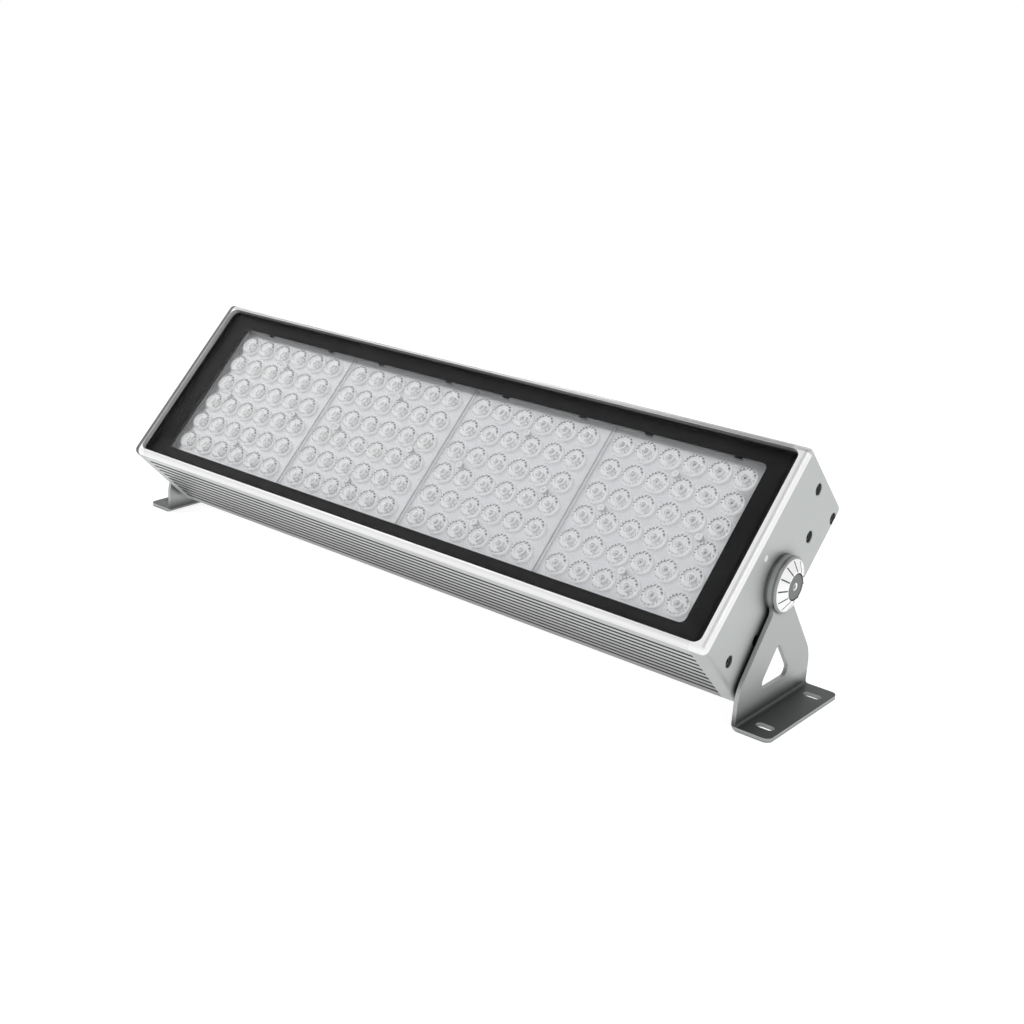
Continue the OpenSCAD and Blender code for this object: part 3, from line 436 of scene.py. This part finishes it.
def let_light_in(finish):
    """Lets lamps light what lies behind this finish, which only the other rays see."""
    tree = finish.node_tree
    path = tree.nodes.new("ShaderNodeLightPath")
    passes = maths(tree, "MAXIMUM", path.outputs["Is Shadow Ray"], path.outputs["Is Diffuse Ray"])
    through = tree.nodes.new("ShaderNodeBsdfTransparent")
    through.inputs["Color"].default_value = (1, 1, 1, 1)
    mix = tree.nodes.new("ShaderNodeMixShader")
    end = surface_end(tree)
    tree.links.new(passes, mix.inputs[0])
    tree.links.new(end.links[0].from_socket, mix.inputs[1])
    tree.links.new(through.outputs["BSDF"], mix.inputs[2])
    tree.links.new(mix.outputs[0], end)
    return finish


def clear(name, colour, roughness, ior, milk):
    """A slightly milky clear solid that bends light."""
    made, tree, shader = material(name)
    shader.inputs["Base Color"].default_value = shade(colour, 1)
    shader.inputs["Transmission Weight"].default_value = 1 - milk
    shader.inputs["IOR"].default_value = ior
    grain = noise(tree, 600)
    tree.links.new(spread(tree, grain, roughness, roughness + 0.02), shader.inputs["Roughness"])
    bump(tree, shader, grain, 0.003 * MM)
    return let_light_in(made)


def pane(name):
    """Flat glass: see-through, with a faint coated reflection."""
    made, tree, shader = material(name)
    tree.nodes.remove(shader)
    through = tree.nodes.new("ShaderNodeBsdfTransparent")
    through.inputs["Color"].default_value = (0.99, 0.993, 0.995, 1)
    gloss = tree.nodes.new("ShaderNodeBsdfGlossy")
    gloss.inputs["Roughness"].default_value = 0.08
    gloss.inputs["Color"].default_value = (1, 1, 1, 1)
    edge = tree.nodes.new("ShaderNodeFresnel")
    edge.inputs["IOR"].default_value = PANE_IOR
    dust = spread(tree, noise(tree, 40), 0.85, 1.15)
    mix = tree.nodes.new("ShaderNodeMixShader")
    tree.links.new(maths(tree, "MULTIPLY", edge.outputs[0], dust), mix.inputs[0])
    tree.links.new(through.outputs[0], mix.inputs[1])
    tree.links.new(gloss.outputs[0], mix.inputs[2])
    tree.links.new(mix.outputs[0], surface_end(tree))
    return made


FINISHES = {
    # Painted shade in corners and gaps, down the lower side and in the grooves, a painted highlight on the front
    # lip and a dimmer painted highlight on the lip at the top
    "anodised_aluminium": surface(
        "anodised_aluminium", (0.56, 0.57, 0.57), 0.36, metallic=0.75, patch=0.02, patch_scale=12,
        grain_scale=1800, grain_stretch=ALONG, grain_depth=0.012 * MM, edge=0.15 * MM,
        crevice_shade=8 * MM, tones=((painted_side_shade, (0.22, 0.22, 0.22)), (painted_lip_highlight, (0.84, 0.84, 0.84)),
                            (painted_top_lip_highlight, (0.6, 0.6, 0.6)), (painted_groove_shade, (0.03, 0.03, 0.03)))),
    # Painted shade in corners and gaps and at the left end of the lip, a painted highlight on the front lip and a
    # dimmer painted highlight on the lip at the top
    "cast_aluminium": surface(
        "cast_aluminium", (0.52, 0.54, 0.53), 0.5, metallic=0.75, patch=0.025, grain_scale=3000,
        grain_depth=0.02 * MM, edge=0.15 * MM, crevice_shade=12 * MM,
        tones=((painted_lip_highlight, (0.93, 0.93, 0.93)), (painted_top_lip_highlight, (0.66, 0.66, 0.66)),
               (painted_left_end_shade, (0.17, 0.17, 0.17)))),
    # Painted shade in corners and gaps and on top of the feet
    "bracket_steel": surface(
        "bracket_steel", (0.44, 0.455, 0.45), 0.48, metallic=0.8, patch=0.03, grain_scale=2600,
        grain_depth=0.02 * MM, edge=0.3 * MM, crevice_shade=6 * MM, tones=((painted_foot_shade, (0.08, 0.085, 0.083)),)),
    # Painted shade in corners and gaps, on the dial's rim and in its marks
    "turned_aluminium": turned("turned_aluminium", (0.86, 0.86, 0.86), 0.3, marked=True),
    # Painted shade in corners and gaps, and a painted highlight on the socket
    "dark_steel": turned("dark_steel", (0.17, 0.175, 0.175), 0.42, socket=True),
    "plain_steel": surface(
        "plain_steel", (0.62, 0.62, 0.62), 0.35, metallic=1.0, grain_scale=3500,
        grain_depth=0.01 * MM, edge=0.2 * MM),
    "toughened_glass": pane("toughened_glass"),
    "black_print": surface(
        "black_print", (0.022, 0.022, 0.022), 0.6, patch=0.15, grain_scale=2200,
        grain_depth=0.005 * MM, specular=0.1),
    "seal_rubber": surface(
        "seal_rubber", (0.02, 0.02, 0.02), 0.65, patch=0.2, grain_scale=1500, grain_depth=0.03 * MM),
    "clear_optic": clear("clear_optic", (0.99, 0.99, 0.995), 0.02, 1.49, 0),
    "white_board": surface(
        "white_board", (0.66, 0.665, 0.68), 0.4, patch=0.02, grain_scale=900, grain_depth=0.01 * MM),
    "led_phosphor": surface(
        "led_phosphor", (0.95, 0.86, 0.66), 0.45, patch=0.05, grain_scale=4000,
        grain_depth=0.01 * MM),
    "pad_silicone": surface(
        "pad_silicone", (0.70, 0.48, 0.46), 0.7, patch=0.06, grain_scale=1200,
        grain_depth=0.03 * MM),
    "connector_plastic": surface(
        "connector_plastic", (0.03, 0.03, 0.032), 0.5, patch=0.1, grain_depth=0.01 * MM),
    "lead_white": surface("lead_white", (0.80, 0.80, 0.78), 0.45, patch=0.04, grain_depth=0.01 * MM),
    "lead_brown": surface("lead_brown", (0.10, 0.045, 0.02), 0.45, patch=0.08, grain_depth=0.01 * MM),
    "lead_earth": surface("lead_earth", (0.30, 0.42, 0.04), 0.45, patch=0.2, grain_depth=0.01 * MM),
    "driver_case": surface(
        "driver_case", (0.62, 0.63, 0.64), 0.4, metallic=1.0, patch=0.04, grain_scale=1500,
        grain_stretch=ALONG, grain_depth=0.01 * MM, edge=0.5 * MM),
    "terminal_plastic": surface(
        "terminal_plastic", (0.70, 0.70, 0.66), 0.5, patch=0.04, grain_depth=0.015 * MM),
    "nickel_brass": surface(
        "nickel_brass", (0.62, 0.60, 0.56), 0.28, metallic=1.0, patch=0.05, grain_scale=2200,
        grain_depth=0.008 * MM, edge=0.4 * MM),
    "brass_plain": surface(
        "brass_plain", (0.70, 0.50, 0.20), 0.32, metallic=1.0, patch=0.08, grain_depth=0.01 * MM,
        edge=0.3 * MM),
    "black_plastic": surface(
        "black_plastic", (0.022, 0.022, 0.023), 0.5, patch=0.12, grain_scale=1600,
        grain_depth=0.03 * MM, edge=0.3 * MM),
    "white_mark": surface(
        "white_mark", (1.0, 1.0, 0.99), 0.45, patch=0.02, grain_scale=2000,
        grain_depth=0.01 * MM),
}

# Finishes that take the place of a node's slot
SPECIAL = {
    "module_screws": surface(
        "white_screw", (0.95, 0.95, 0.96), 0.5, patch=0.03, grain_scale=3000, grain_depth=0.01 * MM),
}


def painted(name, colour, roughness, patch=0.02):
    """A painted band of the optic."""
    return let_light_in(surface(
        name, colour, roughness, patch=patch, grain_scale=3000, grain_depth=0.01 * MM))


# The optic's bands: a painted highlight, deep painted shade, a milky core, the plate's edge and painted shade
BAND_FINISHES = {
    HIGHLIGHT_BAND: painted("lens_highlight", (1.0, 1.0, 1.0), 0.3, patch=0.01),
    DEEP_SHADE_BAND: painted("lens_deep_shade", (0.16, 0.16, 0.16), 0.3),
    MILKY: clear("lens_core", (0.99, 0.99, 0.995), 0.05, 1.49, CORE_MILK),
    EDGE: painted("lens_edge", (0.6, 0.6, 0.61), 0.5),
    SHADE: painted("lens_shade", (0.36, 0.36, 0.37), 0.3),
}


def dress_nodes():
    """Gives each CAD node the finish of its material slot."""
    for part in frame["record"]["subparts"]:
        node = nodes[part["node"]]
        node.data.materials.clear()
        node.data.materials.append(SPECIAL.get(part["node"], FINISHES[part["material_slot"]]))


# Mesh helpers
def piece(name, points, faces, finish, body, smooth_angle=35):
    """A mesh piece in the row frame that rides on a body."""
    mesh = bpy.data.meshes.new(name)
    mesh.from_pydata([tuple(p) for p in points], [], faces)
    built = bmesh.new()
    built.from_mesh(mesh)
    bmesh.ops.remove_doubles(built, verts=built.verts, dist=WELD)
    bmesh.ops.recalc_face_normals(built, faces=built.faces)
    built.to_mesh(mesh)
    built.free()
    mesh.polygons.foreach_set("use_smooth", [True] * len(mesh.polygons))
    mesh.set_sharp_from_angle(angle=math.radians(smooth_angle))
    mesh.materials.append(FINISHES[finish])
    made = bpy.data.objects.new(name, mesh)
    bpy.context.scene.collection.objects.link(made)
    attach(made, body)
    return made


def ring_points(rings, sides, flutes=()):
    """Points of the rings (radius, height) about the z axis. The rings in flutes go in at each flute."""
    points = []
    for index, (radius, height) in enumerate(rings):
        for i in range(sides):
            angle = 2 * math.pi * i / sides
            r = radius - FLUTE_DEPTH * (i % FLUTE_EVERY == 0) * (index in flutes)
            points.append(Vector((r * math.cos(angle), r * math.sin(angle), height)))
    return points


def square_points(half, height, sides):
    """Points on a square, at the same angles as a ring's points."""
    points = []
    for i in range(sides):
        angle = 2 * math.pi * i / sides
        c, s = math.cos(angle), math.sin(angle)
        k = half / max(abs(c), abs(s))
        points.append(Vector((k * c, k * s, height)))
    return points


def join_rings(count, sides, first=0):
    """Faces between each ring and the next, with a fan in the middle of the last."""
    faces = []
    for k in range(count - 1):
        for i in range(sides):
            a, b = first + k * sides + i, first + k * sides + (i + 1) % sides
            faces.append((a, b, b + sides, a + sides))
    centre = first + count * sides
    last = first + (count - 1) * sides
    faces += [(last + i, last + (i + 1) % sides, centre) for i in range(sides)]
    return faces


def lens_cell():
    """One pitch of the optic, top and underside, about the lens axis, from the plate's top."""
    half = LENS_PITCH / 2
    points = square_points(half, 0, LENS_SIDES) + ring_points(LENS_RINGS, LENS_SIDES, FLUTED_RINGS)
    points.append(Vector((0, 0, LENS_CROWN)))
    faces = join_rings(len(LENS_RINGS) + 1, LENS_SIDES)
    under = len(points)
    cavity = [(r, h - PLATE_T) for r, h in CAVITY_RINGS]
    points += square_points(half, -PLATE_T, LENS_SIDES) + ring_points(cavity, LENS_SIDES)
    points.append(Vector((0, 0, CAVITY_CROWN - PLATE_T)))
    faces += join_rings(len(cavity) + 1, LENS_SIDES, first=under)
    return points, faces


def lens_centres():
    """Lens centres of a module, from its middle."""
    steps = [(i - (LENS_ROWS - 1) / 2) * LENS_PITCH for i in range(LENS_ROWS)]
    return [Vector((x, y, 0)) for x in steps for y in steps]


def plate_margin(half_l, half_w):
    """The plate round the lens field, notched for the connectors, as quads that meet the lens cells."""
    steps = [p.y for p in square_points(LENS_PITCH / 2, 0, LENS_SIDES) if p.x > LENS_PITCH / 2 - 1e-9]
    line = sorted({round(c.x + s, 7) for c in lens_centres() for s in steps})
    notch = (max(s for s in line if s < NOTCH_X[0]), min(s for s in line if s > NOTCH_X[1]))
    xs = [-half_l] + line + [half_l]
    ys = [-half_w] + line + [NOTCH_Y, half_w]

    def kind(i, j):
        if not (0 <= i < len(xs) - 1 and 0 <= j < len(ys) - 1):
            return "out"
        x, y = (xs[i] + xs[i + 1]) / 2, (ys[j] + ys[j + 1]) / 2
        if max(abs(x), abs(y)) < LENS_FIELD:
            return "lenses"
        return "out" if y > NOTCH_Y and notch[0] < abs(x) < notch[1] else "plate"

    quads = []
    for i in range(len(xs) - 1):
        for j in range(len(ys) - 1):
            if kind(i, j) != "plate":
                continue
            corners = [(xs[i], ys[j]), (xs[i + 1], ys[j]), (xs[i + 1], ys[j + 1]), (xs[i], ys[j + 1])]
            for z in (0, -PLATE_T):
                quads.append([(x, y, z) for x, y in corners])
            for k, (di, dj) in enumerate(((0, -1), (1, 0), (0, 1), (-1, 0))):
                if kind(i + di, j + dj) == "out":
                    (ax, ay), (bx, by) = corners[k], corners[(k + 1) % 4]
                    quads.append([(ax, ay, 0), (bx, by, 0), (bx, by, -PLATE_T), (ax, ay, -PLATE_T)])
    return quads


def skirt(half_l, half_w):
    """Bars under the plate's edge, which stand on the LED board."""
    x0, y0 = half_l - SKIRT_T, half_w - SKIRT_T
    low, high = NOTCH_X
    bars = [(-half_l, -x0, -half_w, half_w), (x0, half_l, -half_w, half_w), (-x0, x0, -half_w, -y0),
            (-x0, -high, y0, half_w), (-low, low, y0, half_w), (high, x0, y0, half_w)]
    top, foot = -PLATE_T - SKIRT_GAP, -PLATE_T - BOARD_GAP
    quads = []
    for ax, bx, ay, by in bars:
        a, b, c, d = (ax, ay), (bx, ay), (bx, by), (ax, by)
        for z in (top, foot):
            quads.append([p + (z,) for p in (a, b, c, d)])
        for p, q in ((a, b), (b, c), (c, d), (d, a)):
            quads.append([p + (top,), q + (top,), q + (foot,), p + (foot,)])
    return quads


def lens_zone(at):
    """Which of its materials a face of the optic has, by the face's middle."""
    x, y = (at.x % LENS_PITCH) - LENS_PITCH / 2, (at.y % LENS_PITCH) - LENS_PITCH / 2
    radius, height = math.hypot(x, y) / MM, at.z / MM
    if max(abs(at.x), abs(at.y)) > LENS_FIELD:
        on_side = PLATE_SIDE[0] < height < PLATE_SIDE[1]
        return EDGE if on_side or height < BELOW_PLATE else CLEAR
    turn = int((math.atan2(y, x) % (2 * math.pi)) / (2 * math.pi) * LENS_SIDES)
    for (low, high), (inner, outer), (first, last), between, at_flute in LENS_BANDS:
        if low < height < high and inner < radius <= outer and first <= turn <= last:
            return between if turn % FLUTE_EVERY else at_flute
    return CLEAR


def lens_modules():
    """A detailed optic in place of each plain lens module."""
    cell_points, cell_faces = lens_cell()
    for number in range(1, MODULE_COUNT + 1):
        low, high = head_box(f"lens_module_{number}")
        middle = (low + high) / 2
        origin = Vector((middle.x, middle.y, high.z - LENS_H))
        half_l, half_w = (high.x - low.x) / 2, (high.y - low.y) / 2
        points, faces = [], []
        for centre in lens_centres():
            first = len(points)
            points += [centre + p for p in cell_points]
            faces += [tuple(first + i for i in face) for face in cell_faces]
        for quad in plate_margin(half_l, half_w) + skirt(half_l, half_w):
            first = len(points)
            points += [Vector(p) for p in quad]
            faces.append(tuple(range(first, first + 4)))
        placed = [HEAD @ (origin + p) for p in points]
        made = piece(f"lens_optic_{number}", placed, faces, "clear_optic", "head", smooth_angle=40)
        for index in sorted(BAND_FINISHES):
            made.data.materials.append(BAND_FINISHES[index])
        to_module = (HEAD @ Matrix.Translation(origin)).inverted()
        for face in made.data.polygons:
            face.material_index = lens_zone(to_module @ face.center)
        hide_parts(f"lens_module_{number}")


def led_packages():
    """White LED packages with a yellow dome, under the lenses."""
    half = CHIP_SIZE / 2
    sides = CHIP_SIDES
    dome = [(CHIP_DOME_R * math.cos(a), CHIP_H + CHIP_DOME_H * math.sin(a)) for a in CHIP_DOME_ANGLES]
    rings = [(half * CHIP_TOP_SHARE, CHIP_H)] + dome
    bands_below_dome = 3
    for number in range(1, MODULE_COUNT + 1):
        low, high = head_box(f"led_chips_{number}")
        origin = Vector(((low.x + high.x) / 2, (low.y + high.y) / 2, low.z))
        points, faces, domes = [], [], []
        for centre in lens_centres():
            first = len(points)
            points += [centre + p for p in square_points(half, 0, sides)]
            points += [centre + p for p in square_points(half, CHIP_H, sides)]
            points += [centre + p for p in ring_points(rings, sides)]
            points.append(centre + Vector((0, 0, CHIP_H + CHIP_DOME_H)))
            made_faces = join_rings(len(rings) + 2, sides, first=first)
            domes += [len(faces) + i for i in range(bands_below_dome * sides, len(made_faces))]
            faces += made_faces + [tuple(reversed(range(first, first + sides)))]
        placed = [HEAD @ (origin + p) for p in points]
        made = piece(f"led_package_{number}", placed, faces, "white_board", "head")
        made.data.materials.append(FINISHES["led_phosphor"])
        for index in domes:
            made.data.polygons[index].material_index = 1
        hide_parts(f"led_chips_{number}")


def white_room():
    """A white room, which is darker overhead."""
    world = bpy.data.worlds.new("studio")
    bpy.context.scene.world = world
    world.use_nodes = True
    tree = world.node_tree
    tree.nodes.clear()
    out = tree.nodes.new("ShaderNodeOutputWorld")
    background = tree.nodes.new("ShaderNodeBackground")
    background.inputs["Color"].default_value = (1, 1, 1, 1)
    coordinates = tree.nodes.new("ShaderNodeTexCoord")
    split = tree.nodes.new("ShaderNodeSeparateXYZ")
    tree.links.new(coordinates.outputs["Generated"], split.inputs[0])
    rise = tree.nodes.new("ShaderNodeMapRange")
    rise.inputs["From Min"].default_value = SKY_HEIGHTS[0]
    rise.inputs["From Max"].default_value = SKY_HEIGHTS[1]
    rise.inputs["To Min"].default_value = SKY_STRENGTHS[0]
    rise.inputs["To Max"].default_value = SKY_STRENGTHS[1]
    tree.links.new(split.outputs["Z"], rise.inputs["Value"])
    tree.links.new(rise.outputs["Result"], background.inputs["Strength"])
    tree.links.new(background.outputs[0], out.inputs["Surface"])


def pale_floor():
    """A pale floor, which looks white and fades into the room."""
    bpy.ops.mesh.primitive_circle_add(
        vertices=96, radius=FLOOR_R, fill_type="NGON", location=(0, 0, -FLOOR_DROP))
    floor = bpy.context.object
    floor.name = "floor"
    made, tree, shader = material("floor")
    shader.inputs["Base Color"].default_value = (0.5, 0.5, 0.5, 1)
    shader.inputs["Roughness"].default_value = 0.9
    shader.inputs["Specular IOR Level"].default_value = 0.1
    shader.inputs["Emission Color"].default_value = (1, 1, 1, 1)
    path = tree.nodes.new("ShaderNodeLightPath")
    seen = maths(tree, "MAXIMUM", path.outputs["Is Camera Ray"], path.outputs["Is Glossy Ray"])
    seen = maths(tree, "MAXIMUM", seen, path.outputs["Is Transmission Ray"])
    tree.links.new(maths(tree, "MULTIPLY", seen, FLOOR_GLOW), shader.inputs["Emission Strength"])
    length = tree.nodes.new("ShaderNodeVectorMath")
    length.operation = "LENGTH"
    tree.links.new(place(tree), length.inputs[0])
    fade = tree.nodes.new("ShaderNodeMapRange")
    fade.inputs["From Min"].default_value = FLOOR_FADE[0]
    fade.inputs["From Max"].default_value = FLOOR_FADE[1]
    tree.links.new(length.outputs["Value"], fade.inputs["Value"])
    open_sky = tree.nodes.new("ShaderNodeBsdfTransparent")
    mix = tree.nodes.new("ShaderNodeMixShader")
    tree.links.new(fade.outputs["Result"], mix.inputs[0])
    tree.links.new(shader.outputs["BSDF"], mix.inputs[1])
    tree.links.new(open_sky.outputs[0], mix.inputs[2])
    tree.links.new(mix.outputs[0], surface_end(tree))
    floor.data.materials.append(made)


def soft_lamps():
    """Round area lamps that face the lamp's middle."""
    for name, at, size, power in LAMPS:
        lamp = bpy.data.lights.new(name, "AREA")
        lamp.shape = "DISK"
        lamp.size = size
        lamp.energy = power
        holder = bpy.data.objects.new(name, lamp)
        bpy.context.scene.collection.objects.link(holder)
        holder.location = at
        holder.rotation_euler = (LAMPS_AIM - Vector(at)).to_track_quat("-Z", "Y").to_euler()


def main_camera():
    """The camera, set where the photo was taken from."""
    camera = bpy.data.cameras.new("camera")
    camera.lens = CAMERA_LENS
    camera.sensor_width = CAMERA_SENSOR
    camera.shift_x, camera.shift_y = CAMERA_SHIFT
    holder = bpy.data.objects.new("camera", camera)
    bpy.context.scene.collection.objects.link(holder)
    holder.location = CAMERA_AT
    holder.rotation_euler = [math.radians(a) for a in CAMERA_TURN]
    bpy.context.scene.camera = holder


bpy.context.scene.view_settings.view_transform = "Standard"
white_room()
pale_floor()
soft_lamps()
main_camera()
dress_nodes()
lens_modules()
led_packages()
